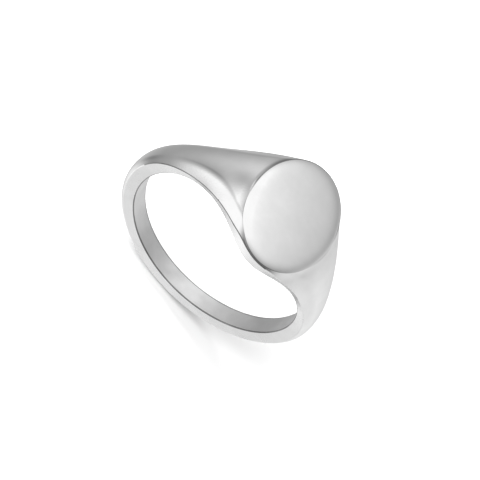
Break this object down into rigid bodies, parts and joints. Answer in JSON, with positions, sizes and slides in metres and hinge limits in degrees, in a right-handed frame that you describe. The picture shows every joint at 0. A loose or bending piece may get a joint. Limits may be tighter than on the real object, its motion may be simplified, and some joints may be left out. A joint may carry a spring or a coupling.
{
  "type": "signet ring",
  "caption": "Oval signet ring: gently cushioned oval table on a solid head, softly crested sloping shoulders and a slim D-section shank.",
  "frame": {"origin": "centre of the finger hole", "axes": "+Y along the finger hole's axis, +Z out of the signet table, +X across the finger"},
  "size_m": [0.0202, 0.0112, 0.0206],
  "materials": {
    "polished_silver_table": "polished",
    "polished_silver": "polished outside, satin inside the finger hole"
  },
  "bodies": {
    "root": {"signet_table": "polished_silver_table", "head": "polished_silver", "right_shoulder": "polished_silver", "left_shoulder": "polished_silver", "lower_shank": "polished_silver"}
  },
  "joints": []
}
